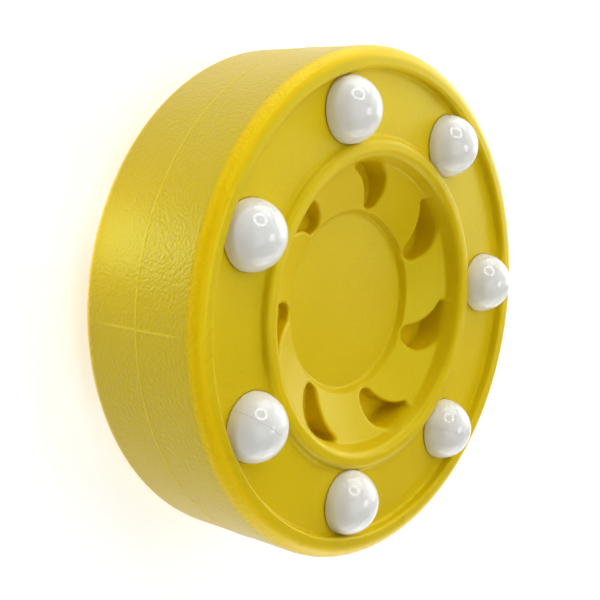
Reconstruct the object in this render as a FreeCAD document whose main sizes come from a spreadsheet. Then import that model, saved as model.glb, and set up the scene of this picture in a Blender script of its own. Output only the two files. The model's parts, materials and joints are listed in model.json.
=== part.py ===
"""Roller hockey puck: one moulded body with seven two-piece glide runners.

The puck lies flat. +Z is the puck's axis, and the origin is the centre of its mid-plane.
All sizes are millimetres and live in the spreadsheet named Sizes.
"""
import FreeCAD, Part
import math
import os
import re

import Sketcher

RUNNER_COUNT = 7
FIRST_RUNNER_ANGLE = 90.0
FULL_TURN = 360.0
ANGLE_STEP = FULL_TURN / RUNNER_COUNT

# How near two lengths must be to count as equal.
LENGTH_MATCH = 1e-4

SIZES = {
    # Body: the outline of one face, from the side wall to the centre
    "body_radius": 38.0,
    "rim_height": 11.3,
    "rim_inner_radius": 34.8,
    "channel_outer_radius": 34.2,
    "channel_inner_radius": 25.0,
    "channel_height": 9.8,
    "ring_outer_radius": 24.4,
    "ring_inner_radius": 22.3,
    "ring_height": 10.9,
    "well_wall_radius": 21.3,
    "well_edge_height": 8.3,
    "disc_edge_radius": 14.1,
    "disc_edge_height": 5.6,
    "disc_radius": 13.4,
    "disc_height": 4.4,
    # Body: edge roundings
    "outer_rounding": 2.0,
    "rim_rounding": 0.5,
    "corner_rounding": 0.7,
    "ring_outer_rounding": 1.0,
    "ring_inner_rounding": 1.3,
    "well_rounding": 0.6,
    "disc_rounding": 0.5,
    # Body: blind comma-shaped pockets in the dished floor
    "pocket_start_angle": 62.9,
    "pocket_end_position": 16.1,
    "pocket_end_radius": 1.6,
    "pocket_back_radius": 4.1,
    "pocket_outer_radius": 21.3,
    "pocket_tip_radius": 0.5,
    "pocket_tail_angle": 19.5,
    "pocket_belly_radius": 7.3,
    "pocket_floor_height": 3.8,
    # Runners: seven in a circle, each a pin snapped into a cap
    "pitch_radius": 29.6,
    "bore_radius": 3.5,
    "seat_radius": 5.0,
    "head_radius": 4.9,
    "head_base_height": 9.9,
    "stem_radius": 3.42,
    "stem_end_height": 1.0,
    "lead": 0.3,
    "shank_radius": 1.9,
    "shank_end_height": -7.5,
    "socket_radius": 2.0,
    "socket_end_height": -8.0,
    "barb_height": -5.5,
    "barb_radius": 2.2,
    "barb_length": 1.2,
    "groove_radius": 2.3,
    "groove_length": 1.6,
}


def make_sheet(doc):
    """Write every driving size into a spreadsheet, one alias per row."""
    sheet = doc.addObject("Spreadsheet::Sheet", "Sizes")
    for row, (name, value) in enumerate(SIZES.items(), start=1):
        sheet.set(f"A{row}", name)
        sheet.set(f"B{row}", str(value))
        sheet.setAlias(f"B{row}", name)
    doc.recompute()
    return sheet


def origin_plane(body, role):
    """Return one of the body's own origin planes."""
    return next(item for item in body.Origin.OriginFeatures if item.Role == role)


def make_sketch(body, name, role):
    """Add a sketch on one of the body's origin planes."""
    sketch = body.newObject("Sketcher::SketchObject", name)
    sketch.AttachmentSupport = [(origin_plane(body, role), "")]
    sketch.MapMode = "FlatFace"
    return sketch


def sizes(text):
    """Turn a sum of size names, such as "shank_radius - lead", into a spreadsheet expression."""
    return re.sub(r"[a-z][a-z_]+", r"Sizes.\g<0>", text)


def bind(sketch, constraint, expression):
    """Add a dimension to a sketch and drive it by an expression."""
    index = sketch.addConstraint(constraint)
    sketch.setExpression(f"Constraints[{index}]", expression)


def pin_point(sketch, line, end, point, corner):
    """Hold one end of a line at a corner given as (radius, height) size sums; "" is on the axis."""
    radius, height = corner
    if radius:
        bind(sketch, Sketcher.Constraint("DistanceX", -1, 1, line, end, point.x), sizes(radius))
    else:
        sketch.addConstraint(Sketcher.Constraint("PointOnObject", line, end, -2))
    if height:
        bind(sketch, Sketcher.Constraint("DistanceY", -1, 1, line, end, point.y), sizes(height))
    else:
        sketch.addConstraint(Sketcher.Constraint("PointOnObject", line, end, -1))


def draw_runs(sketch, corners):
    """Draw straight runs through corners, each held by its sizes, and return the points."""
    points = []
    for corner in corners:
        values = [sketch.evalExpression(sizes(text)) if text else 0.0 for text in corner]
        points.append(FreeCAD.Vector(float(values[0]), float(values[1]), 0))
    for index, (start, end) in enumerate(zip(points, points[1:])):
        line = sketch.addGeometry(Part.LineSegment(start, end))
        if index:
            sketch.addConstraint(Sketcher.Constraint("Coincident", line - 1, 2, line, 1))
        pin_point(sketch, line, 1, start, corners[index])
    pin_point(sketch, len(points) - 2, 2, points[-1], corners[-1])
    return points


def close_along_axis(sketch, last, last_point, start, end):
    """Close an outline with a line along the axis, back to its first point."""
    axis = sketch.addGeometry(Part.LineSegment(start, end))
    sketch.addConstraint(Sketcher.Constraint("Coincident", last, last_point, axis, 1))
    sketch.addConstraint(Sketcher.Constraint("Coincident", axis, 2, 0, 1))


def draw_head(sketch, points, upward):
    """Draw the quarter circle of a domed head from the last point to the axis."""
    line = len(points) - 2
    rim = points[-1]
    circle = Part.Circle(FreeCAD.Vector(0, rim.y, 0), FreeCAD.Vector(0, 0, 1), rim.x)
    first_angle = 0 if upward else -math.pi / 2
    arc = sketch.addGeometry(Part.ArcOfCircle(circle, first_angle, first_angle + math.pi / 2))
    rim_end, tip_end = (1, 2) if upward else (2, 1)
    sketch.addConstraint(Sketcher.Constraint("Coincident", line, 2, arc, rim_end))
    sketch.addConstraint(Sketcher.Constraint("PointOnObject", arc, 3, -2))
    sketch.addConstraint(Sketcher.Constraint("Horizontal", arc, 3, line, 2))
    sketch.addConstraint(Sketcher.Constraint("PointOnObject", arc, tip_end, -2))
    tip = FreeCAD.Vector(0, rim.y + (rim.x if upward else -rim.x), 0)
    close_along_axis(sketch, arc, tip_end, tip, points[0])


def revolve(body, sketch, name):
    """Turn an outline drawn in (radius, height) about the Z axis."""
    feature = body.newObject("PartDesign::Revolution", name)
    feature.Profile = sketch
    feature.ReferenceAxis = (sketch, ["V_Axis"])
    feature.Angle = FULL_TURN
    return feature


def mirror_feature(body, original, name):
    """Copy a feature to the other face, through the mid-plane."""
    mirrored = body.newObject("PartDesign::Mirrored", name)
    mirrored.Originals = [original]
    mirrored.MirrorPlane = (origin_plane(body, "XY_Plane"), [""])
    body.Tip = mirrored


def pattern_round(body, original, name):
    """Repeat a feature once for each runner, about the Z axis."""
    pattern = body.newObject("PartDesign::PolarPattern", name)
    pattern.Originals = [original]
    pattern.Axis = (origin_plane(body, "Z_Axis"), [""])
    pattern.Angle = FULL_TURN
    pattern.Occurrences = RUNNER_COUNT
    body.Tip = pattern
    return pattern


def circle_edges(shape, radius, height):
    """Names of the circular edges about Z with this radius, at plus and minus this height."""
    names = []
    for number, edge in enumerate(shape.Edges, start=1):
        curve = edge.Curve
        if not isinstance(curve, Part.Circle):
            continue
        off_axis = math.hypot(curve.Center.x, curve.Center.y)
        off_radius = abs(curve.Radius - radius)
        off_height = abs(abs(curve.Center.z) - height)
        if max(off_axis, off_radius, off_height) < LENGTH_MATCH:
            names.append(f"Edge{number}")
    return names


def round_edges(doc, body, sheet, name, edges, rounding):
    """Round the circular edges at the named radii and heights on both faces."""
    doc.recompute()
    base = body.Tip
    names = []
    for radius, height in edges:
        found = circle_edges(base.Shape, sheet.getPropertyByName(radius), sheet.getPropertyByName(height))
        if len(found) < 2:
            raise RuntimeError(f"{name}: no edge pair at {radius}, {height}")
        names += found
    fillet = body.newObject("PartDesign::Fillet", name)
    fillet.Base = (base, names)
    fillet.setExpression("Radius", f"Sizes.{rounding}")
    body.Tip = fillet


def pocket_arcs(sheet):
    """Centres and radii of the five tangent arcs of a comma-shaped pocket, inner end on +X."""
    size = sheet.getPropertyByName
    end_radius = size("pocket_end_radius")
    back_radius = size("pocket_back_radius")
    outer_radius = size("pocket_outer_radius")
    tip_radius = size("pocket_tip_radius")
    belly_radius = size("pocket_belly_radius")
    tail = math.radians(size("pocket_tail_angle"))
    origin = FreeCAD.Vector()
    end = FreeCAD.Vector(size("pocket_end_position"), 0, 0)
    tip = FreeCAD.Vector(math.cos(tail), math.sin(tail), 0) * (outer_radius - tip_radius)
    back = meeting_point(origin, outer_radius - back_radius, end, back_radius - end_radius)
    belly = meeting_point(end, end_radius + belly_radius, tip, belly_radius + tip_radius)
    return {
        "end": (end, end_radius),
        "back": (back, back_radius),
        "outer": (origin, outer_radius),
        "tip": (tip, tip_radius),
        "belly": (belly, belly_radius),
    }


def meeting_point(first, first_reach, second, second_reach):
    """The point at both reaches, on the left of the line from first to second."""
    across = second - first
    gap = across.Length
    along = (first_reach ** 2 - second_reach ** 2 + gap ** 2) / (2 * gap)
    aside = math.sqrt(first_reach ** 2 - along ** 2)
    direction = across / gap
    left = FreeCAD.Vector(-direction.y, direction.x, 0)
    return first + direction * along + left * aside


def touch_point(circle, other, side):
    """Where a circle touches a tangent one; side is 1 towards the other's centre, -1 away from it."""
    centre, radius = circle
    return centre + (other[0] - centre).normalize() * radius * side


def arc_between(centre, radius, start, end):
    """The anticlockwise arc of a circle from one point to another."""
    first = math.atan2(start.y - centre.y, start.x - centre.x)
    last = math.atan2(end.y - centre.y, end.x - centre.x)
    return Part.ArcOfCircle(Part.Circle(centre, FreeCAD.Vector(0, 0, 1), radius), first, last)


def draw_pocket(sheet, sketch):
    """Draw the comma: five arcs, each tangent to the next, driven by their radii."""
    arcs = pocket_arcs(sheet)
    end_back = touch_point(arcs["end"], arcs["back"], -1)
    back_outer = touch_point(arcs["outer"], arcs["back"], 1)
    outer_tip = touch_point(arcs["outer"], arcs["tip"], 1)
    tip_belly = touch_point(arcs["tip"], arcs["belly"], 1)
    belly_end = touch_point(arcs["belly"], arcs["end"], 1)
    sketch.addGeometry(arc_between(*arcs["end"], belly_end, end_back))
    sketch.addGeometry(arc_between(*arcs["back"], end_back, back_outer))
    sketch.addGeometry(arc_between(*arcs["outer"], back_outer, outer_tip))
    sketch.addGeometry(arc_between(*arcs["tip"], outer_tip, tip_belly))
    sketch.addGeometry(arc_between(*arcs["belly"], belly_end, tip_belly))
    end, back, outer, tip, belly = range(5)
    start_point, end_point, centre_point = 1, 2, 3
    for first, first_point, second, second_point in (
        (end, end_point, back, start_point),
        (back, end_point, outer, start_point),
        (outer, end_point, tip, start_point),
        (tip, end_point, belly, end_point),
        (belly, start_point, end, start_point),
    ):
        sketch.addConstraint(Sketcher.Constraint("Tangent", first, first_point, second, second_point))
    sketch.addConstraint(Sketcher.Constraint("Coincident", outer, centre_point, -1, 1))
    sketch.addConstraint(Sketcher.Constraint("PointOnObject", end, centre_point, -1))
    end_place = Sketcher.Constraint("DistanceX", -1, 1, end, centre_point, arcs["end"][0].x)
    bind(sketch, end_place, "Sizes.pocket_end_position")
    for index, name in enumerate(("end", "back", "outer", "tip", "belly")):
        radius = arcs[name][1]
        bind(sketch, Sketcher.Constraint("Radius", index, radius), f"Sizes.pocket_{name}_radius")
    tip_place = Sketcher.Constraint("DistanceY", -1, 1, tip, centre_point, arcs["tip"][0].y)
    reach = "(Sizes.pocket_outer_radius - Sizes.pocket_tip_radius)"
    bind(sketch, tip_place, f"{reach} * sin(Sizes.pocket_tail_angle * 1 deg)")


def cut_round(doc, body, sketch, name, upward=True, both_ways=False):
    """Cut a sketch out through a face, repeat the cut round the axis, and check that it cut."""
    doc.recompute()
    before = body.Tip.Shape.Volume
    pocket = body.newObject("PartDesign::Pocket", name)
    pocket.Profile = sketch
    pocket.Type = "ThroughAll"
    pocket.Midplane = both_ways
    pocket.Reversed = upward and not both_ways
    doc.recompute()
    single = before - pocket.Shape.Volume
    pattern = pattern_round(body, pocket, f"{name}s")
    doc.recompute()
    removed = before - pattern.Shape.Volume
    if single <= 0 or round(removed / single) != RUNNER_COUNT:
        raise RuntimeError(f"{name} cut {single} once and {removed} in all")


def draw_runner_circle(sheet, sketch, radius_name):
    """Draw one circle at the first runner's place."""
    pitch = sheet.getPropertyByName("pitch_radius")
    radius = sheet.getPropertyByName(radius_name)
    centre = FreeCAD.Vector(0, pitch, 0)
    sketch.addGeometry(Part.Circle(centre, FreeCAD.Vector(0, 0, 1), radius))
    sketch.addConstraint(Sketcher.Constraint("PointOnObject", 0, 3, -2))
    bind(sketch, Sketcher.Constraint("DistanceY", -1, 1, 0, 3, pitch), "Sizes.pitch_radius")
    bind(sketch, Sketcher.Constraint("Radius", 0, radius), f"Sizes.{radius_name}")


def make_puck_body(doc, sheet):
    """The moulded body: rim, runner channel, ring, dished well and pockets, the same on both faces."""
    body = doc.addObject("PartDesign::Body", "puck_body")
    body.Label = "puck_body"

    outline = make_sketch(body, "face_outline", "XZ_Plane")
    points = draw_runs(outline, [
        ("", ""),
        ("body_radius", ""),
        ("body_radius", "rim_height"),
        ("rim_inner_radius", "rim_height"),
        ("channel_outer_radius", "channel_height"),
        ("channel_inner_radius", "channel_height"),
        ("ring_outer_radius", "ring_height"),
        ("ring_inner_radius", "ring_height"),
        ("well_wall_radius", "well_edge_height"),
        ("disc_edge_radius", "disc_edge_height"),
        ("disc_radius", "disc_height"),
        ("", "disc_height"),
    ])
    close_along_axis(outline, len(points) - 2, 2, points[-1], points[0])
    front_half = revolve(body, outline, "front_half")
    mirror_feature(body, front_half, "back_half")

    round_edges(doc, body, sheet, "outer_edges", [("body_radius", "rim_height")], "outer_rounding")
    round_edges(doc, body, sheet, "rim_edges", [("rim_inner_radius", "rim_height")], "rim_rounding")
    channel_corners = [
        ("channel_outer_radius", "channel_height"),
        ("channel_inner_radius", "channel_height"),
    ]
    round_edges(doc, body, sheet, "channel_corners", channel_corners, "corner_rounding")
    for side in ("ring_outer", "ring_inner"):
        ring_edge = [(f"{side}_radius", "ring_height")]
        round_edges(doc, body, sheet, f"{side}_edges", ring_edge, f"{side}_rounding")
    round_edges(doc, body, sheet, "well_corners", [("well_wall_radius", "well_edge_height")], "well_rounding")
    disc_edges = [("disc_edge_radius", "disc_edge_height"), ("disc_radius", "disc_height")]
    round_edges(doc, body, sheet, "disc_edges", disc_edges, "disc_rounding")

    for face, sign, upward in (("front", "", True), ("back", "-", False)):
        cut_pockets(doc, body, sheet, face, sign, upward)
    bore_sketch = make_sketch(body, "bore_circle", "XY_Plane")
    draw_runner_circle(sheet, bore_sketch, "bore_radius")
    cut_round(doc, body, bore_sketch, "runner_bore", both_ways=True)
    for face, sign, upward in (("front", "", True), ("back", "-", False)):
        cut_seats(doc, body, sheet, face, sign, upward)
    return body


def cut_pockets(doc, body, sheet, face, sign, upward):
    """Comma-shaped blind pockets in one face, the two faces' pockets back to back."""
    sketch = make_sketch(body, f"{face}_pocket_outline", "XY_Plane")
    sketch.setExpression(".AttachmentOffset.Base.z", f"{sign}Sizes.pocket_floor_height")
    sketch.setExpression(".AttachmentOffset.Rotation.Angle", "Sizes.pocket_start_angle")
    draw_pocket(sheet, sketch)
    cut_round(doc, body, sketch, f"{face}_pocket", upward)


def cut_seats(doc, body, sheet, face, sign, upward):
    """Round seats that clear the runners' heads, from one channel's floor outward."""
    sketch = make_sketch(body, f"{face}_seat_circle", "XY_Plane")
    sketch.setExpression(".AttachmentOffset.Base.z", f"{sign}Sizes.channel_height")
    draw_runner_circle(sheet, sketch, "seat_radius")
    cut_round(doc, body, sketch, f"{face}_seat", upward)


def place_runner(body, number):
    """Put a runner piece on the pitch circle, numbered clockwise from the top."""
    angle = FIRST_RUNNER_ANGLE - (number - 1) * ANGLE_STEP
    body.setExpression(".Placement.Base.x", f"Sizes.pitch_radius * cos({angle:.6f} deg)")
    body.setExpression(".Placement.Base.y", f"Sizes.pitch_radius * sin({angle:.6f} deg)")


def make_runner_piece(doc, name, corners, number, upward):
    """Turn one half of a runner from its half section, and put it in its place."""
    body = doc.addObject("PartDesign::Body", f"{name}_{number}")
    body.Label = f"{name}_{number}"
    sketch = make_sketch(body, f"{name}_outline_{number}", "XZ_Plane")
    points = draw_runs(sketch, corners)
    draw_head(sketch, points, upward)
    revolve(body, sketch, f"{name}_turned_{number}")
    place_runner(body, number)
    return body


def make_runner_pin(doc, number):
    """Front half of a runner: domed head, stem, and a shank with a snap barb."""
    corners = [
        ("", "shank_end_height"),
        ("shank_radius - lead", "shank_end_height"),
        ("shank_radius", "shank_end_height + lead"),
        ("shank_radius", "barb_height - barb_length / 2"),
        ("barb_radius", "barb_height + lead"),
        ("shank_radius", "barb_height + barb_length / 2"),
        ("shank_radius", "stem_end_height"),
        ("stem_radius", "stem_end_height"),
        ("stem_radius", "head_base_height"),
        ("head_radius", "head_base_height"),
    ]
    return make_runner_piece(doc, "runner_pin", corners, number, upward=True)


def make_runner_cap(doc, number):
    """Back half of a runner: domed head and a sleeve whose socket has a snap groove."""
    corners = [
        ("", "socket_end_height"),
        ("socket_radius", "socket_end_height"),
        ("socket_radius", "barb_height - groove_length / 2"),
        ("groove_radius", "barb_height - lead"),
        ("groove_radius", "barb_height + lead"),
        ("socket_radius", "barb_height + groove_length / 2"),
        ("socket_radius", "stem_end_height - lead"),
        ("socket_radius + lead", "stem_end_height"),
        ("stem_radius", "stem_end_height"),
        ("stem_radius", "-head_base_height"),
        ("head_radius", "-head_base_height"),
    ]
    return make_runner_piece(doc, "runner_cap", corners, number, upward=False)


def check_document(doc):
    """Stop if any object failed to compute."""
    for item in doc.Objects:
        if "Invalid" in item.State or "Error" in item.State:
            raise RuntimeError(f"{item.Name} failed: {item.State}")


def write_parts(pieces):
    """Check each piece's shape and write it to its own STEP file."""
    os.makedirs("parts", exist_ok=True)
    for piece in pieces:
        shape = piece.Shape
        if shape.isNull() or not shape.isValid() or len(shape.Solids) != 1:
            raise RuntimeError(f"{piece.Label} has a bad shape")
        shape.exportStep(f"parts/{piece.Label}.step")
        box = shape.BoundBox
        print(f"{piece.Label}: {shape.Volume / 1000:.3f} cm3, "
              f"z {box.ZMin:.2f} to {box.ZMax:.2f}, x {box.XMin:.2f} to {box.XMax:.2f}")


def main():
    doc = FreeCAD.newDocument("roller_hockey_puck")
    sheet = make_sheet(doc)
    pieces = [make_puck_body(doc, sheet)]
    for number in range(1, RUNNER_COUNT + 1):
        pieces.append(make_runner_pin(doc, number))
        pieces.append(make_runner_cap(doc, number))
    doc.recompute()
    check_document(doc)
    write_parts(pieces)


main()
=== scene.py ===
import json
import math

import bmesh
import bpy
import numpy as np
from mathutils import Matrix, Vector
from mathutils.geometry import delaunay_2d_cdt

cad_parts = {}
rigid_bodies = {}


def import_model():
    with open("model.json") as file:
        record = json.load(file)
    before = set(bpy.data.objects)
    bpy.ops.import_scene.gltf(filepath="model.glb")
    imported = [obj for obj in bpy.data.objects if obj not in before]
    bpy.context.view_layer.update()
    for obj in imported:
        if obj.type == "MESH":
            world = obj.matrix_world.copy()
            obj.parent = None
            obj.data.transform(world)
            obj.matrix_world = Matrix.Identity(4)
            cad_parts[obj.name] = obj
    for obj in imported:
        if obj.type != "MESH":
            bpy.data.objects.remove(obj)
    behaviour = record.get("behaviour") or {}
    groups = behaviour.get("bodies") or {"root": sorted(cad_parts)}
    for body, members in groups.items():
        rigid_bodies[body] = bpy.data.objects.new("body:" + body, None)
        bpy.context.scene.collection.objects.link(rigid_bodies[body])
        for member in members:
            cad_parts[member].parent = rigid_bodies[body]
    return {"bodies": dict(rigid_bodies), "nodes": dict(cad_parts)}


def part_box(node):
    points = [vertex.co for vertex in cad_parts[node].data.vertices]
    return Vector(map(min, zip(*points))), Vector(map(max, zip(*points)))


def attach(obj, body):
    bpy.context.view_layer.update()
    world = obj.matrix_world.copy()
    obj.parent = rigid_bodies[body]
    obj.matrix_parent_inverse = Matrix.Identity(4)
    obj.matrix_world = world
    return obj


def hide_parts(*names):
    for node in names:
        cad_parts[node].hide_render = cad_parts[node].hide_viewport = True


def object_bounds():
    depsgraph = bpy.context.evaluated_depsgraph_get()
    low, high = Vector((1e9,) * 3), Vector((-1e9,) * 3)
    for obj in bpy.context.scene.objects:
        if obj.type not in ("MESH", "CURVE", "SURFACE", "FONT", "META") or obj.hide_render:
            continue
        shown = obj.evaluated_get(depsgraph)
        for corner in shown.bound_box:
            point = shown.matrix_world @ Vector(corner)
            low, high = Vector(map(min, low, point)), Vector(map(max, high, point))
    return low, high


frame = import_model()
cad_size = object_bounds()

# Shapes are drawn in millimetres and become metres when a mesh is made. The floor, the lamps and the camera
# are in metres throughout.
MM = 0.001
FULL_TURN = 2 * math.pi

RUNNERS = sorted(name for name in frame["bodies"] if name.startswith("runner_"))
_, BODY_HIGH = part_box("puck_body")
BODY_RADIUS = BODY_HIGH.x / MM
RIM_HEIGHT = BODY_HIGH.z / MM
PIN_LOW, PIN_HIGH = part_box("runner_pin_1")
RUNNER_PITCH_RADIUS = (PIN_LOW.y + PIN_HIGH.y) / 2 / MM
RUNNER_HEAD_RADIUS = (PIN_HIGH.x - PIN_LOW.x) / 2 / MM
RUNNER_HEAD_BASE = PIN_HIGH.z / MM - RUNNER_HEAD_RADIUS

# One face of the puck, from the outer edge to the middle: radius, height and rounding of each corner.
CHANNEL_HEIGHT = RIM_HEIGHT - 1.5
RING_HEIGHT = RIM_HEIGHT - 0.4
WELL_EDGE_RADIUS = 21.3
DISC_HEIGHT = 4.4
FACE_CORNERS = (
    (BODY_RADIUS, RIM_HEIGHT, 2.0),
    (34.8, RIM_HEIGHT, 0.5),
    (34.6, CHANNEL_HEIGHT, 0.5),
    (25.0, CHANNEL_HEIGHT, 0.7),
    (24.4, RING_HEIGHT, 1.0),
    (22.3, RING_HEIGHT, 1.3),
    (WELL_EDGE_RADIUS, 8.3, 0.6),
    (14.1, 5.6, 0.5),
    (13.4, DISC_HEIGHT, 0.5),
)
ARC_STEP = math.radians(12)
LEAST_ARC_STEPS = 2
RUN_STEP = 2.0
RUN_MARGIN = 0.1
SECTOR_STEPS = 56

# Closer to the axis than the first radius, each radius of the profile has one height. Beyond the second one
# is the side wall.
FACE_RADIUS = BODY_RADIUS - 3
WALL_RADIUS = BODY_RADIUS - 1

# Between these radii the face is one sheet of triangles, with holes for the seats or for the pockets.
CHANNEL_SHEET = (24.45, 34.68)
WELL_SHEET = (12.6, 22.2)
HOLE_MARGIN = 0.16

# The raised mould seam round the side wall. Its section is in shares of its height and half width.
SEAM_HEIGHT = 0.07
SEAM_HALF_WIDTH = 0.16
SEAM_SECTION = ((1, 0), (0.7, 0.5), (0, 1))

# The weld line across the side wall. Its section is in shares of its half angle.
WELD_ANGLE = math.radians(166)
WELD_HEIGHT = 0.05
WELD_HALF_ANGLE = math.radians(0.22)
WELD_SECTION = (-1, -0.6, -0.25, 0, 0.25, 0.6, 1)
WELD_START = 1.2
WELD_END = 9.2
WELD_FADE = 0.8

# A comma-shaped pocket: five tangent arcs, drawn with its inner end on +X.
POCKET_START = math.radians(62.9)
POCKET_END_PLACE = 16.1
POCKET_END_RADIUS = 1.6
POCKET_BACK_RADIUS = 4.1
POCKET_TIP_RADIUS = 0.5
POCKET_TAIL_ANGLE = math.radians(19.5)
POCKET_BELLY_RADIUS = 7.3
POCKET_FLOOR = 3.8
POCKET_LIP = 0.6
POCKET_FLOOR_ROUNDING = 0.4
POCKET_STEP = 0.3
POCKET_LEAST_STEPS = 8
POCKET_LIP_STEPS = 6
POCKET_WALL_STEPS = 7
POCKET_FOOT_STEPS = 4

# The round seat under each runner's head, a hair lower than the channel floor, and the bore in it.
SEAT_RADIUS = RUNNER_HEAD_RADIUS + 0.1
SEAT_HEIGHT = CHANNEL_HEIGHT - 0.12
BORE_RADIUS = 3.5
SEAT_POINTS = 120

# The parting line over each runner's heads. Its section is in shares of its half width and height, and it
# starts and stops just short of a half turn. Each line has its own height and its own heading in degrees.
PARTING_HALF_WIDTH = 0.13
PARTING_DEPTH = 0.05
PARTING_SECTION = ((-1.0, 0), (-0.5, 0.75), (0, 1), (0.5, 0.75), (1.0, 0))
PARTING_STEPS = 40
PARTING_START = 0.01
PARTING_SWEEP = 0.98
PARTING_LINES = (
    (0.014, 60),
    (0.012, 15),
    (0.012, 100),
    (0.008, 150),
    (0.012, 35),
    (0.035, 127),
    (0.014, 80),
)
CREASE_ANGLE = math.radians(50)

# Mirrored points this close are one point, and so are points of a sheet. TINY stands in for a rise of 0.
MERGE_GAP = 1e-8
SHEET_GAP = 1e-7
TINY = 1e-12

# Where a noise is read as a blend between two looks.
TONE_RANGE = (0.3, 0.7)
ROUGHNESS_RANGE = (0.25, 0.75)
SPECK_RANGE = (0.35, 0.75)

# The body's pebbled grain, strong on the side wall and faint on the faces, and its finer satin texture.
# Noise scales are in cells to the metre, depths in millimetres.
WALL_BLEND = (36.6, 37.8)
GRAIN_SCALE = 2200
GRAIN_SMOOTHNESS = 0.5
GRAIN_DEPTH = 0.11
GRAIN_ON_FACES = 0.15
GRAIN_WARP_SCALE = 1100
GRAIN_WARP = 0.7
GRAIN_PATCH_SCALE = 60
GRAIN_LEAST = 0.6
SATIN_SCALE = 2600
SATIN_ROUGHNESS = 0.6
SATIN_DEPTH = 0.05
SATIN_STRENGTH = 0.35

# The body's colours: two broad tones, the satin's specks, painted shade on the side wall, and painted light
# on the rim's outer rounding, a brighter golden.
BODY_TONE_SCALE = 45
BODY_TONES = ((0.71, 0.50, 0.001, 1), (0.76, 0.535, 0.001, 1))
SPECK_COLOUR = (0.80, 0.57, 0.002, 1)
SPECK_SHARE = 0.25
WALL_SHADE_COLOUR = (0.58, 0.39, 0.001, 1)
WALL_SHADE_SHARE = 0.75
RIM_EDGE_LIGHT_COLOUR = (0.95, 0.62, 0.001, 1)
RIM_EDGE_LIGHT_RADII = (35.9, 36.9)
RIM_EDGE_LIGHT_HEIGHTS = (9.2, 10.3)

# A painted highlight on the seam and the weld line, a paler tone, and how far from their middles and along
# them it fades.
LINE_HIGHLIGHT_COLOUR = (1.0, 0.76, 0.05, 1)
LINE_HIGHLIGHT_SHARE = 0.32
SEAM_FADE = (0.10, 0.22)
WELD_SIDE_FADE = (0.09, 0.22)
WELD_HEIGHT_FADE = (4.0, WELD_END)

# The body's gloss, which is smoother where the top of the rim is worn, and the light it scatters inside.
BODY_ROUGHNESS = (0.30, 0.38)
WEAR_HEIGHTS = (10.6, 11.2)
WEAR_POLISH = 0.06
BODY_GLOSS_TINT = (0.65, 1.0, 0.1, 1)
BODY_SCATTER = (0.12, (1.0, 0.55, 0.1), 0.0012)
GLOSS_LEVEL = 0.7

# The runners' nylon: its flow pattern, its tones and its gloss, its ripples, and the light it scatters.
NYLON_FLOW_SCALE = 180
NYLON_TONES = ((0.86, 0.86, 0.82, 1), (0.90, 0.90, 0.86, 1))
NYLON_ROUGHNESS = (0.06, 0.10)
NYLON_RIPPLE_SCALE = 700
NYLON_RIPPLE_DEPTH = 0.02
NYLON_RIPPLE_STRENGTH = 0.25
NYLON_SCATTER = (0.15, (1.0, 0.95, 0.85), 0.0015)

# The floor's paper.
PAPER_SCALE = 400
PAPER_TONES = ((0.70, 0.70, 0.70, 1), (0.73, 0.73, 0.73, 1))
PAPER_ROUGHNESS = 0.9
PAPER_GLOSS_LEVEL = 0.1

# Soft square lamps that face the puck: azimuth and elevation in degrees, size in metres, power in watts.
SOFTBOX_DISTANCE = 0.8
SOFTBOXES = (
    ("right_low_box", 0, 12, 0.6, 1.8),
    ("corner_low_box", 50, 12, 0.6, 2.2),
    ("bottom_low_box", 270, 12, 0.6, 1.65),
    ("bottom_right_low_box", 300, 12, 0.6, 0.95),
    ("right_box", 0, 38, 0.6, 1.05),
    ("bottom_box", 280, 38, 0.6, 0.3),
    ("lower_left_box", 230, 55, 0.6, 0.35),
    ("left_high_box", 180, 62, 0.6, 0.3),
    ("crest_box", 340, 70, 0.25, 0.8),
    ("overhead_box", 180, 75, 0.6, 1.1),
)

# The ring-shaped lamp. Its place is an azimuth and an elevation in degrees, and a distance.
RING_LAMP_PLACE = (82, 41, 0.5)
RING_LAMP_RADIUS = 0.147
RING_LAMP_TUBE = 0.025
RING_LAMP_SEGMENTS = 96
RING_LAMP_TUBE_SEGMENTS = 12
RING_LAMP_STRENGTH = 6.0

# The floor's own glow, and what is added to it far from the puck.
FLOOR_GLOW = 0.58
FAR_FLOOR_GLOW = 0.45
FAR_FLOOR = (0.35, 1.2)
FLOOR_HALF_WIDTH = 12.0

# A patch of floor that glows brighter, a painted light that the side wall reflects: its edges by angle round
# the puck and by radius.
PATCH_GLOW = 2.8
PATCH_START = (math.radians(134), math.radians(146))
PATCH_END = (math.radians(153), math.radians(156))
PATCH_INNER = (0.041, 0.046)
PATCH_OUTER = (0.058, 0.070)

# The backdrop: white at the horizon, pale grey above it and dark overhead, by the rise of the view line.
HORIZON = (0.04, 0.12)
BACKDROP = (0.12, 0.60)
BACKDROP_GREY = 0.28

CAMERA_PLACE = (-0.11909, 0.05659, 0.10765)
CAMERA_TARGET = (-0.00540, 0.00168, 0.0)
CAMERA_UP = (0.34525, 0.93195, -0.11076)
CAMERA_SENSOR = 36
CAMERA_LENS = 65.74
CAMERA_CLIP_START = 0.01

# The colour sockets of a mix node, which share their names with its other sockets.
MIX_COLOUR_FIRST = 6
MIX_COLOUR_SECOND = 7
MIX_COLOUR_RESULT = 2


def rounded_corner(before, corner, after, radius):
    """Points on the arc that rounds a corner of the profile."""
    into = (corner - before).normalized()
    out = (after - corner).normalized()
    turn = into.angle_signed(out)
    reach = radius * math.tan(abs(turn) / 2)
    side = Vector((-into.y, into.x)) * (-1 if turn > 0 else 1)
    centre = corner - into * reach + side * radius
    spoke = corner - into * reach - centre
    steps = max(LEAST_ARC_STEPS, math.ceil(abs(turn) / ARC_STEP))
    return [centre + Matrix.Rotation(-turn * i / steps, 2) @ spoke for i in range(steps + 1)]


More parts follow.
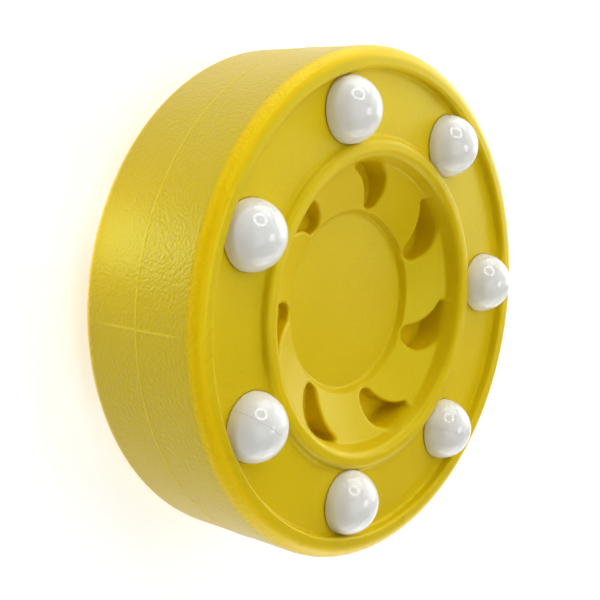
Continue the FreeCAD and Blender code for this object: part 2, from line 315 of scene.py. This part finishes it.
def run_between(start, end):
    """Points along a straight stretch, close together at its ends so that its shading stays flat."""
    length = (end - start).length
    if length < 3 * RUN_MARGIN:
        return []
    inner = length - 2 * RUN_MARGIN
    steps = max(1, math.ceil(inner / RUN_STEP))
    direction = (end - start) / length
    return [start + direction * (RUN_MARGIN + inner * i / steps) for i in range(steps + 1)]


def face_profile():
    """The half section of the puck as radius and height, from the mould seam to the axis."""
    points = [Vector((BODY_RADIUS + SEAM_HEIGHT * up, SEAM_HALF_WIDTH * out)) for up, out in SEAM_SECTION]
    corners = [Vector((radius, height)) for radius, height, _ in FACE_CORNERS]
    corners = [points[-1], *corners, Vector((0, DISC_HEIGHT))]
    for i, (_, _, rounding) in enumerate(FACE_CORNERS, start=1):
        arc = rounded_corner(corners[i - 1], corners[i], corners[i + 1], rounding)
        points += run_between(points[-1], arc[0])
        points += arc
    points += run_between(points[-1], corners[-1])
    return points


def meeting_point(first, first_reach, second, second_reach):
    """The point at both reaches, on the left of the line from first to second."""
    across = second - first
    gap = across.length
    along = (first_reach ** 2 - second_reach ** 2 + gap ** 2) / (2 * gap)
    aside = math.sqrt(first_reach ** 2 - along ** 2)
    direction = across / gap
    return first + direction * along + Vector((-direction.y, direction.x)) * aside


def pocket_arcs():
    """A pocket's five arcs: centre, radius, first and last angle, and +1 if it bulges outwards or else -1."""
    origin = Vector((0, 0))
    end = Vector((POCKET_END_PLACE, 0))
    tip_reach = WELL_EDGE_RADIUS - POCKET_TIP_RADIUS
    tip = Vector((math.cos(POCKET_TAIL_ANGLE), math.sin(POCKET_TAIL_ANGLE))) * tip_reach
    back_reach = POCKET_BACK_RADIUS - POCKET_END_RADIUS
    back = meeting_point(origin, WELL_EDGE_RADIUS - POCKET_BACK_RADIUS, end, back_reach)
    end_to_belly = POCKET_END_RADIUS + POCKET_BELLY_RADIUS
    belly = meeting_point(end, end_to_belly, tip, POCKET_BELLY_RADIUS + POCKET_TIP_RADIUS)

    def heading(start, finish):
        return math.atan2(finish.y - start.y, finish.x - start.x)

    def onwards(start, finish):
        return start, start + (finish - start) % FULL_TURN

    def backwards(start, finish):
        return start, start - (start - finish) % FULL_TURN

    return (
        (end, POCKET_END_RADIUS, *onwards(heading(end, belly), heading(back, end)), 1),
        (back, POCKET_BACK_RADIUS, *onwards(heading(back, end), heading(origin, back)), 1),
        (origin, WELL_EDGE_RADIUS, *onwards(heading(origin, back), heading(origin, tip)), 1),
        (tip, POCKET_TIP_RADIUS, *onwards(heading(origin, tip), heading(tip, belly)), 1),
        (belly, POCKET_BELLY_RADIUS, *backwards(heading(belly, tip), heading(belly, end)), -1),
    )


def pocket_loop(offset, turn):
    """A pocket's outline moved outwards by an offset and turned about the puck's axis."""
    points = []
    for centre, radius, first, last, bulge in pocket_arcs():
        steps = max(POCKET_LEAST_STEPS, math.ceil(radius * abs(last - first) / POCKET_STEP))
        for i in range(steps):
            angle = first + (last - first) * i / steps
            spoke = Vector((math.cos(angle), math.sin(angle))) * (radius + bulge * offset)
            points.append(Matrix.Rotation(turn, 2) @ (centre + spoke))
    return points


def inside(loop, spots):
    """Which of the spots lie inside a closed loop of plan points."""
    corners = np.array([tuple(p) for p in loop])
    following = np.roll(corners, -1, axis=0)
    x, y = spots[:, :1], spots[:, 1:2]
    straddles = (corners[:, 1] > y) != (following[:, 1] > y)
    rise = following[:, 1] - corners[:, 1]
    rise = np.where(rise == 0, TINY, rise)
    crossing = corners[:, 0] + (y - corners[:, 1]) / rise * (following[:, 0] - corners[:, 0])
    return (straddles & (x < crossing)).sum(axis=1) % 2 == 1


def even_angles(count):
    return [FULL_TURN * i / count for i in range(count)]


def circle(radius, angles, centre=(0, 0)):
    """Plan points round a circle."""
    return [Vector((centre[0] + radius * math.cos(a), centre[1] + radius * math.sin(a))) for a in angles]


class Shell:
    """The points and faces of one half of the puck, in millimetres."""

    def __init__(self, profile):
        self.points = []
        self.faces = []
        face = [(p.x, p.y) for p in profile if p.x < FACE_RADIUS]
        self.radii = [radius for radius, _ in reversed(face)]
        self.heights = [height for _, height in reversed(face)]

    def height_at(self, place):
        return float(np.interp(place.length, self.radii, self.heights))

    def loop(self, places, height=None):
        """Add a closed loop of plan points at one height or a list of them, or else on the face."""
        start = len(self.points)
        for i, place in enumerate(places):
            level = self.height_at(place) if height is None else height
            level = level[i] if isinstance(level, list) else level
            self.points.append(Vector((place.x, place.y, level)))
        return list(range(start, len(self.points)))

    def strip(self, first, second):
        """Join two loops of equal length with quads."""
        for i in range(len(first)):
            j = (i + 1) % len(first)
            self.faces.append((first[i], first[j], second[j], second[i]))

    def sheet(self, outer, inner, holes, rings):
        """Fill between two loops and round the holes, through points along the rings."""
        edges = []
        for loop in (outer, inner, *holes):
            edges += list(zip(loop, loop[1:] + loop[:1]))
        clear = [self.plan(loop) for loop in holes]
        for ring in rings:
            spots = np.array([tuple(p) for p in ring])
            blocked = np.zeros(len(ring), bool)
            for hole in clear:
                blocked |= near(hole, spots)
            start = len(self.points)
            kept = [p for p, shut in zip(ring, blocked) if not shut]
            self.loop(kept)
            numbers = iter(range(start, len(self.points)))
            row = [None if shut else next(numbers) for shut in blocked]
            edges += [pair for pair in zip(row, row[1:] + row[:1]) if None not in pair]
        used = sorted({number for edge in edges for number in edge})
        place = {number: i for i, number in enumerate(used)}
        flat = [self.points[number].xy for number in used]
        joins = [(place[a], place[b]) for a, b in edges]
        made = delaunay_2d_cdt(flat, joins, [], 0, SHEET_GAP, True)
        if len(made[0]) != len(flat):
            raise RuntimeError(f"the sheet has {len(made[0])} points for {len(flat)}")
        origin = [used[sources[0]] for sources in made[3]]
        triangles = np.array(made[2])
        middles = np.array([tuple(p) for p in made[0]])[triangles].mean(axis=1)
        least = self.points[inner[0]].xy.length
        keep = np.hypot(middles[:, 0], middles[:, 1]) > least
        for hole in clear:
            keep &= ~inside(hole, middles)
        for triangle in triangles[keep]:
            self.faces.append(tuple(origin[corner] for corner in triangle))

    def plan(self, loop):
        return [self.points[number].xy for number in loop]


def near(hole, spots):
    """Which spots lie inside a hole's loop or within a margin of it."""
    corners = np.array([tuple(p) for p in hole])
    gaps = np.hypot(*(spots[:, None, :] - corners[None, :, :]).transpose(2, 0, 1)).min(axis=1)
    return inside(hole, spots) | (gaps < HOLE_MARGIN)


def bend(start, corner, end, share):
    """A point on the curve that leaves start towards corner and arrives at end from it."""
    rest = 1 - share
    return start * rest * rest + corner * 2 * rest * share + end * share * share


def raised(places, height):
    return [Vector((p.x, p.y, height)) for p in places]


def add_bend(shell, last, starts, corners, ends, steps):
    """Carry a loop round a bend in a few strips, and return the loop at its end."""
    for i in range(1, steps + 1):
        curve = [bend(*three, i / steps) for three in zip(starts, corners, ends)]
        ring = shell.loop([p.xy for p in curve], [p.z for p in curve])
        shell.strip(last, ring)
        last = ring
    return last


def add_pocket(shell, turn):
    """Add one pocket's rounded lip, wall and floor, and return the loop where it meets the face."""
    lip = pocket_loop(POCKET_LIP, turn)
    edge = pocket_loop(0, turn)
    foot = pocket_loop(-POCKET_FLOOR_ROUNDING, turn)
    tops = [Vector((p.x, p.y, shell.height_at(p))) for p in lip]
    corners = [Vector((p.x, p.y, shell.height_at(p))) for p in edge]
    walls = [p - Vector((0, 0, POCKET_LIP)) for p in corners]
    mouth = shell.loop(lip)
    last = add_bend(shell, mouth, tops, corners, walls, POCKET_LIP_STEPS)
    base = POCKET_FLOOR + POCKET_FLOOR_ROUNDING
    for i in range(1, POCKET_WALL_STEPS + 1):
        ring = shell.loop(edge, [p.z + (base - p.z) * i / POCKET_WALL_STEPS for p in walls])
        shell.strip(last, ring)
        last = ring
    starts, elbows, ends = raised(edge, base), raised(edge, POCKET_FLOOR), raised(foot, POCKET_FLOOR)
    last = add_bend(shell, last, starts, elbows, ends, POCKET_FOOT_STEPS)
    shell.faces.append(tuple(last))
    return mouth


def add_seat(shell, centre):
    """Add one runner's seat and half its bore, and return the loop where the seat meets the face."""
    angles = even_angles(SEAT_POINTS)
    mouth = shell.loop(circle(SEAT_RADIUS, angles, centre))
    corner = shell.loop(shell.plan(mouth), SEAT_HEIGHT)
    bore = shell.loop(circle(BORE_RADIUS, angles, centre), SEAT_HEIGHT)
    middle = shell.loop(shell.plan(bore), 0)
    for first, second in ((mouth, corner), (corner, bore), (bore, middle)):
        shell.strip(first, second)
    return mouth


def wall_angles():
    """Angles of the points round the puck: evenly spaced, with more of them at the weld line."""
    count = SECTOR_STEPS * len(RUNNERS)
    fine = [WELD_ANGLE + WELD_HALF_ANGLE * share for share in WELD_SECTION]
    apart = FULL_TURN / count / 4
    even = [a for a in even_angles(count) if min(abs(a - b) for b in fine) > apart]
    return sorted(even + fine)


def weld_rise(angle, height):
    """How far the weld line stands out of the side wall at a place on it."""
    across = max(0, 1 - abs(angle - WELD_ANGLE) / WELD_HALF_ANGLE)
    start = min(1, max(0, (height - WELD_START) / WELD_FADE))
    end = min(1, max(0, (WELD_END - height) / WELD_FADE))
    return WELD_HEIGHT * across * (start * end)


def runner_centre(index):
    angle = FULL_TURN / 4 - index * FULL_TURN / len(RUNNERS)
    return RUNNER_PITCH_RADIUS * math.cos(angle), RUNNER_PITCH_RADIUS * math.sin(angle)


def between(profile, low, high):
    return [p for p in profile if low < p.x < high]


def half_shell():
    """The upper half of the body, open along the mid-plane."""
    profile = face_profile()
    shell = Shell(profile)
    angles = wall_angles()
    channel = between(profile, *CHANNEL_SHEET)
    well = between(profile, *WELL_SHEET)
    rings = {id(p) for p in channel[1:-1] + well[1:-1]}
    seats = [add_seat(shell, runner_centre(i)) for i in range(len(RUNNERS))]
    turns = [POCKET_START - i * FULL_TURN / len(RUNNERS) for i in range(len(RUNNERS))]
    mouths = [add_pocket(shell, turn) for turn in turns]
    last = None
    for point in profile[:-1]:
        if id(point) in rings:
            continue
        if point.y < WELD_END and point.x > WALL_RADIUS:
            places = [circle(point.x + weld_rise(a, point.y), [a])[0] for a in angles]
        else:
            places = circle(point.x, angles)
        ring = shell.loop(places, point.y)
        if point is channel[-1]:
            shell.sheet(last, ring, seats, [circle(p.x, angles) for p in channel[1:-1]])
        elif point is well[-1]:
            shell.sheet(last, ring, mouths, [circle(p.x, angles) for p in well[1:-1]])
        elif last is not None:
            shell.strip(last, ring)
        last = ring
    shell.faces.append(tuple(last))
    return shell


def make_object(build, name):
    """Shade a piece smooth up to its creases and put it in the scene."""
    for face in build.faces:
        face.smooth = True
    for edge in build.edges:
        edge.smooth = edge.calc_face_angle() < CREASE_ANGLE
    mesh = bpy.data.meshes.new(name)
    build.to_mesh(mesh)
    build.free()
    piece = bpy.data.objects.new(name, mesh)
    bpy.context.scene.collection.objects.link(piece)
    return piece


def make_puck_shell():
    """The moulded body: rim, runner channel, ring and dished well with its comma pockets, on both faces."""
    half = half_shell()
    build = bmesh.new()
    for point in half.points:
        build.verts.new(point * MM)
    build.verts.ensure_lookup_table()
    for face in half.faces:
        build.faces.new([build.verts[number] for number in face])
    everything = build.verts[:] + build.edges[:] + build.faces[:]
    bmesh.ops.mirror(build, geom=everything, axis="Z", merge_dist=MERGE_GAP)
    bmesh.ops.recalc_face_normals(build, faces=build.faces[:])
    loose = [v for v in build.verts if not v.link_faces]
    if loose:
        bmesh.ops.delete(build, geom=loose, context="VERTS")
    open_edges = [e for e in build.edges if len(e.link_faces) != 2]
    if open_edges:
        raise RuntimeError(f"puck_shell has {len(open_edges)} open edges")
    shown = make_object(build, "puck_shell")
    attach(shown, "puck")
    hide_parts("puck_body")
    shown.data.materials.append(body_plastic())


def make_parting_line(index, nylon):
    """The thin raised line that the mould leaves over a runner's two heads."""
    height, heading = PARTING_LINES[index]
    along = Vector((math.cos(math.radians(heading)), math.sin(math.radians(heading)), 0))
    aside = Vector((-along.y, along.x, 0))
    x, y = runner_centre(index)
    section = [(across, height * up) for across, up in PARTING_SECTION]
    section += [(1.0, -PARTING_DEPTH), (-1.0, -PARTING_DEPTH)]
    build = bmesh.new()
    for side in (1, -1):
        base = Vector((x, y, RUNNER_HEAD_BASE * side))
        rows = []
        for i in range(PARTING_STEPS + 1):
            turn = math.pi * (i / PARTING_STEPS * PARTING_SWEEP + PARTING_START)
            out = along * math.cos(turn) + Vector((0, 0, side)) * math.sin(turn)
            row = []
            for across, rise in section:
                slide = across * PARTING_HALF_WIDTH
                reach = math.sqrt(RUNNER_HEAD_RADIUS ** 2 - slide ** 2) + rise
                row.append(build.verts.new((base + out * reach + aside * slide) * MM))
            rows.append(row)
        for first, second in zip(rows, rows[1:]):
            for a, b, c, d in zip(first, first[1:] + first[:1], second[1:] + second[:1], second):
                build.faces.new((a, b, c, d))
        build.faces.new(rows[0])
        build.faces.new(rows[-1])
    bmesh.ops.recalc_face_normals(build, faces=build.faces[:])
    line = make_object(build, f"parting_line_{index + 1}")
    line.data.materials.append(nylon)
    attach(line, RUNNERS[index])


def in_metres(lengths):
    return [length * MM for length in lengths]


def math_node(tree, operation, *sources):
    """A math node fed by numbers or sockets, as its output socket."""
    node = tree.nodes.new("ShaderNodeMath")
    node.operation = operation
    for number, source in enumerate(sources):
        if isinstance(source, (int, float)):
            node.inputs[number].default_value = source
        else:
            tree.links.new(source, node.inputs[number])
    return node.outputs[0]


def product(tree, first, *others):
    """The product of a socket with numbers or other sockets, as a socket."""
    for other in others:
        first = math_node(tree, "MULTIPLY", first, other)
    return first


def ramp_between(tree, source, low, high, start=0.0, end=1.0):
    """A smooth step of a socket from low to high, as a socket that goes from start to end."""
    node = tree.nodes.new("ShaderNodeMapRange")
    node.interpolation_type = "SMOOTHSTEP"
    tree.links.new(source, node.inputs["Value"])
    node.inputs["From Min"].default_value = low
    node.inputs["From Max"].default_value = high
    node.inputs["To Min"].default_value = start
    node.inputs["To Max"].default_value = end
    return node.outputs["Result"]


def noise(tree, vector, scale, detail=2.0, roughness=0.5):
    node = tree.nodes.new("ShaderNodeTexNoise")
    node.inputs["Scale"].default_value = scale
    node.inputs["Detail"].default_value = detail
    node.inputs["Roughness"].default_value = roughness
    tree.links.new(vector, node.inputs["Vector"])
    return node


def mix_colour(tree, factor, first, second):
    """A blend of two colours by a socket. Each colour is a tuple or a socket."""
    node = tree.nodes.new("ShaderNodeMix")
    node.data_type = "RGBA"
    tree.links.new(factor, node.inputs["Factor"])
    for number, source in ((MIX_COLOUR_FIRST, first), (MIX_COLOUR_SECOND, second)):
        if isinstance(source, tuple):
            node.inputs[number].default_value = source
        else:
            tree.links.new(source, node.inputs[number])
    return node.outputs[MIX_COLOUR_RESULT]


def new_material(name):
    material = bpy.data.materials.new(name)
    material.use_nodes = True
    tree = material.node_tree
    tree.nodes.clear()
    output = tree.nodes.new("ShaderNodeOutputMaterial")
    shader = tree.nodes.new("ShaderNodeBsdfPrincipled")
    tree.links.new(shader.outputs[0], output.inputs["Surface"])
    return material, tree, shader


def scatter(shader, weight, colour_radii, scale):
    """Let light into the material and out again, further for red than for blue."""
    shader.inputs["Subsurface Weight"].default_value = weight
    shader.inputs["Subsurface Radius"].default_value = colour_radii
    shader.inputs["Subsurface Scale"].default_value = scale


def object_place(tree):
    """Sockets for the place on the object, its X, Y and Z, and its distance from the Z axis."""
    place = tree.nodes.new("ShaderNodeTexCoord").outputs["Object"]
    split = tree.nodes.new("ShaderNodeSeparateXYZ")
    tree.links.new(place, split.inputs[0])
    x, y, z = split.outputs
    square = math_node(tree, "MULTIPLY", x, x)
    square = math_node(tree, "MULTIPLY_ADD", y, y, square)
    return place, (x, y, z), math_node(tree, "SQRT", square)


def bump(tree, height, depth, strength=1.0, normal=None):
    """Bump with a depth in millimetres, on top of another normal if there is one."""
    node = tree.nodes.new("ShaderNodeBump")
    node.inputs["Strength"].default_value = strength
    node.inputs["Distance"].default_value = depth * MM
    tree.links.new(height, node.inputs["Height"])
    if normal is not None:
        tree.links.new(normal, node.inputs["Normal"])
    return node.outputs["Normal"]


def pebbled_grain(tree, place, on_wall):
    """The height of the leather-like pebbles, strong on the side wall and faint on the faces."""
    cells = tree.nodes.new("ShaderNodeTexVoronoi")
    cells.feature = "SMOOTH_F1"
    cells.inputs["Scale"].default_value = GRAIN_SCALE
    cells.inputs["Smoothness"].default_value = GRAIN_SMOOTHNESS
    warp = noise(tree, place, GRAIN_WARP_SCALE)
    shift = tree.nodes.new("ShaderNodeVectorMath")
    shift.operation = "MULTIPLY_ADD"
    tree.links.new(warp.outputs["Color"], shift.inputs[0])
    shift.inputs[1].default_value = (GRAIN_WARP * MM,) * 3
    tree.links.new(place, shift.inputs[2])
    tree.links.new(shift.outputs[0], cells.inputs["Vector"])
    patches = noise(tree, place, GRAIN_PATCH_SCALE)
    worn = ramp_between(tree, patches.outputs["Fac"], *TONE_RANGE, GRAIN_LEAST, 1.0)
    share = math_node(tree, "MULTIPLY_ADD", on_wall, 1 - GRAIN_ON_FACES, GRAIN_ON_FACES)
    return product(tree, cells.outputs["Distance"], share, worn)


def mould_line_highlight(tree, x, y, level, on_wall):
    """How strongly the painted highlight of the seam and the weld line shows at a place on the side wall."""
    across = math_node(tree, "MULTIPLY", x, math.sin(WELD_ANGLE))
    across = math_node(tree, "MULTIPLY_ADD", y, -math.cos(WELD_ANGLE), across)
    across = math_node(tree, "ABSOLUTE", across)
    weld = ramp_between(tree, across, *in_metres(WELD_SIDE_FADE), 1.0, 0.0)
    same_side = ramp_between(tree, x, -MM, 0.0, 1.0, 0.0)
    fading = ramp_between(tree, level, *in_metres(WELD_HEIGHT_FADE), LINE_HIGHLIGHT_SHARE, 0.0)
    weld = product(tree, weld, same_side, fading)
    seam = ramp_between(tree, level, *in_metres(SEAM_FADE), LINE_HIGHLIGHT_SHARE, 0.0)
    return product(tree, math_node(tree, "MAXIMUM", seam, weld), on_wall)


def body_plastic():
    """Yellow moulded plastic: pebbled side wall with painted shade, satin faces, painted light on the rim's
    outer rounding, painted highlights on the mould lines, slightly worn rim.
    """
    material, tree, shader = new_material("body_plastic_look")
    place, (x, y, z), radius = object_place(tree)
    level = math_node(tree, "ABSOLUTE", z)
    on_wall = ramp_between(tree, radius, *in_metres(WALL_BLEND))

    pebbled = bump(tree, pebbled_grain(tree, place, on_wall), -GRAIN_DEPTH)
    satin = noise(tree, place, SATIN_SCALE, 3, SATIN_ROUGHNESS)
    textured = bump(tree, satin.outputs["Fac"], SATIN_DEPTH, SATIN_STRENGTH, pebbled)
    tree.links.new(textured, shader.inputs["Normal"])

    broad = noise(tree, place, BODY_TONE_SCALE, 3)
    tone = ramp_between(tree, broad.outputs["Fac"], *TONE_RANGE)
    colour = mix_colour(tree, tone, *BODY_TONES)
    speck = ramp_between(tree, satin.outputs["Fac"], *SPECK_RANGE, 0.0, SPECK_SHARE)
    colour = mix_colour(tree, speck, colour, SPECK_COLOUR)
    # Painted shade: the side wall is mixed towards a darker colour, standing in for less light falling on it.
    colour = mix_colour(tree, product(tree, on_wall, WALL_SHADE_SHARE), colour, WALL_SHADE_COLOUR)
    # Painted light: the rim's outer rounding is painted a brighter, more saturated golden, standing in for
    # how it is lit.
    outer = ramp_between(tree, radius, *in_metres(RIM_EDGE_LIGHT_RADII))
    edge = product(tree, outer, ramp_between(tree, level, *in_metres(RIM_EDGE_LIGHT_HEIGHTS)))
    colour = mix_colour(tree, edge, colour, RIM_EDGE_LIGHT_COLOUR)
    # Painted highlight: the seam and the weld line are painted a paler tone.
    colour = mix_colour(tree, mould_line_highlight(tree, x, y, level, on_wall), colour, LINE_HIGHLIGHT_COLOUR)
    tree.links.new(colour, shader.inputs["Base Color"])

    smooth = ramp_between(tree, broad.outputs["Fac"], *ROUGHNESS_RANGE, *BODY_ROUGHNESS)
    wear = ramp_between(tree, level, *in_metres(WEAR_HEIGHTS), 0.0, WEAR_POLISH)
    rough = math_node(tree, "SUBTRACT", smooth, wear)
    tree.links.new(rough, shader.inputs["Roughness"])
    scatter(shader, *BODY_SCATTER)
    shader.inputs["Specular Tint"].default_value = BODY_GLOSS_TINT
    shader.inputs["Specular IOR Level"].default_value = GLOSS_LEVEL
    return material


def runner_nylon():
    """Glossy off-white nylon with a faint flow pattern."""
    material, tree, shader = new_material("runner_nylon_look")
    place = tree.nodes.new("ShaderNodeTexCoord").outputs["Object"]
    flow = noise(tree, place, NYLON_FLOW_SCALE, 3)
    tone = ramp_between(tree, flow.outputs["Fac"], *TONE_RANGE)
    tree.links.new(mix_colour(tree, tone, *NYLON_TONES), shader.inputs["Base Color"])
    rough = ramp_between(tree, flow.outputs["Fac"], *ROUGHNESS_RANGE, *NYLON_ROUGHNESS)
    tree.links.new(rough, shader.inputs["Roughness"])
    ripple = noise(tree, place, NYLON_RIPPLE_SCALE)
    rippled = bump(tree, ripple.outputs["Fac"], NYLON_RIPPLE_DEPTH, NYLON_RIPPLE_STRENGTH)
    tree.links.new(rippled, shader.inputs["Normal"])
    scatter(shader, *NYLON_SCATTER)
    shader.inputs["Specular IOR Level"].default_value = GLOSS_LEVEL
    return material


def floor_paper():
    """Pale studio paper, lit a little from behind so that it stays plain white."""
    material, tree, shader = new_material("floor_paper")
    place, (x, y, _), radius = object_place(tree)
    fibres = noise(tree, place, PAPER_SCALE, 3)
    tone = ramp_between(tree, fibres.outputs["Fac"], *TONE_RANGE)
    tree.links.new(mix_colour(tree, tone, *PAPER_TONES), shader.inputs["Base Color"])
    shader.inputs["Roughness"].default_value = PAPER_ROUGHNESS
    shader.inputs["Specular IOR Level"].default_value = PAPER_GLOSS_LEVEL
    shader.inputs["Emission Color"].default_value = (1, 1, 1, 1)
    angle = math_node(tree, "ARCTAN2", y, x)
    # Painted light: the floor glows brighter in a patch so that the side wall reflects it.
    patch = product(
        tree,
        ramp_between(tree, angle, *PATCH_START),
        ramp_between(tree, angle, *PATCH_END, 1.0, 0.0),
        ramp_between(tree, radius, *PATCH_INNER),
        ramp_between(tree, radius, *PATCH_OUTER, 1.0, 0.0),
    )
    far = ramp_between(tree, radius, *FAR_FLOOR, FLOOR_GLOW, FLOOR_GLOW + FAR_FLOOR_GLOW)
    glow = math_node(tree, "MULTIPLY_ADD", patch, PATCH_GLOW, far)
    tree.links.new(glow, shader.inputs["Emission Strength"])
    return material


def make_floor():
    """A plain pale floor that the puck's lower runners stand on."""
    mesh = bpy.data.meshes.new("floor")
    half = FLOOR_HALF_WIDTH
    low = cad_size[0].z
    corners = [(-half, -half, low), (half, -half, low), (half, half, low), (-half, half, low)]
    mesh.from_pydata(corners, [], [(0, 1, 2, 3)])
    floor = bpy.data.objects.new("floor", mesh)
    bpy.context.scene.collection.objects.link(floor)
    mesh.materials.append(floor_paper())


def aim(thing, place, target, up=(0, 0, 1)):
    """Put a lamp or camera at a place, looking at a target, with its top towards up."""
    back = (Vector(place) - Vector(target)).normalized()
    right = Vector(up).cross(back).normalized()
    top = back.cross(right)
    turn = Matrix((right, top, back)).transposed()
    thing.matrix_world = Matrix.Translation(place) @ turn.to_4x4()


def toward(azimuth, elevation, distance):
    """A place at a distance from the puck's middle, from its azimuth and elevation in degrees."""
    level = math.cos(math.radians(elevation)) * distance
    turn = math.radians(azimuth)
    return level * math.cos(turn), level * math.sin(turn), math.sin(math.radians(elevation)) * distance


def add_softbox(name, azimuth, elevation, size, power):
    """A large soft area lamp that faces the puck."""
    lamp = bpy.data.lights.new(name, "AREA")
    lamp.shape = "SQUARE"
    lamp.size = size
    lamp.energy = power
    box = bpy.data.objects.new(name, lamp)
    bpy.context.scene.collection.objects.link(box)
    aim(box, toward(azimuth, elevation, SOFTBOX_DISTANCE), (0, 0, 0))


def add_ring_lamp():
    """The ring-shaped lamp that the runners reflect."""
    bpy.ops.mesh.primitive_torus_add(
        major_radius=RING_LAMP_RADIUS,
        minor_radius=RING_LAMP_TUBE,
        major_segments=RING_LAMP_SEGMENTS,
        minor_segments=RING_LAMP_TUBE_SEGMENTS,
    )
    ring = bpy.context.object
    ring.name = "ring_lamp"
    aim(ring, toward(*RING_LAMP_PLACE), (0, 0, 0))
    material = bpy.data.materials.new("ring_lamp_glow")
    material.use_nodes = True
    nodes = material.node_tree.nodes
    nodes.clear()
    glow = nodes.new("ShaderNodeEmission")
    glow.inputs["Strength"].default_value = RING_LAMP_STRENGTH
    output = nodes.new("ShaderNodeOutputMaterial")
    material.node_tree.links.new(glow.outputs[0], output.inputs["Surface"])
    ring.data.materials.append(material)


def make_backdrop():
    """A backdrop that is white at the horizon and dark overhead, where the lamps light the puck."""
    world = bpy.data.worlds.new("studio")
    world.use_nodes = True
    tree = world.node_tree
    background = tree.nodes["Background"]
    background.inputs["Color"].default_value = (1, 1, 1, 1)
    split = tree.nodes.new("ShaderNodeSeparateXYZ")
    tree.links.new(tree.nodes.new("ShaderNodeTexCoord").outputs["Generated"], split.inputs[0])
    white = ramp_between(tree, split.outputs["Z"], *HORIZON, 1.0 - BACKDROP_GREY, 0.0)
    grey = ramp_between(tree, split.outputs["Z"], *BACKDROP, BACKDROP_GREY, 0.0)
    tree.links.new(math_node(tree, "ADD", white, grey), background.inputs["Strength"])
    bpy.context.scene.world = world


def make_camera():
    """The photograph's view: from the -X side, 49 degrees off the puck's axis, +Y to the top."""
    camera = bpy.data.objects.new("camera", bpy.data.cameras.new("camera"))
    camera.data.sensor_width = CAMERA_SENSOR
    camera.data.lens = CAMERA_LENS
    camera.data.clip_start = CAMERA_CLIP_START
    bpy.context.scene.collection.objects.link(camera)
    aim(camera, CAMERA_PLACE, CAMERA_TARGET, CAMERA_UP)
    bpy.context.scene.camera = camera


make_puck_shell()
nylon = runner_nylon()
for name, node in frame["nodes"].items():
    if name.startswith("runner_"):
        for slot in node.material_slots:
            slot.material = nylon
for index in range(len(RUNNERS)):
    make_parting_line(index, nylon)
make_floor()
for softbox in SOFTBOXES:
    add_softbox(*softbox)
add_ring_lamp()
make_backdrop()
make_camera()
bpy.context.scene.view_settings.view_transform = "Standard"
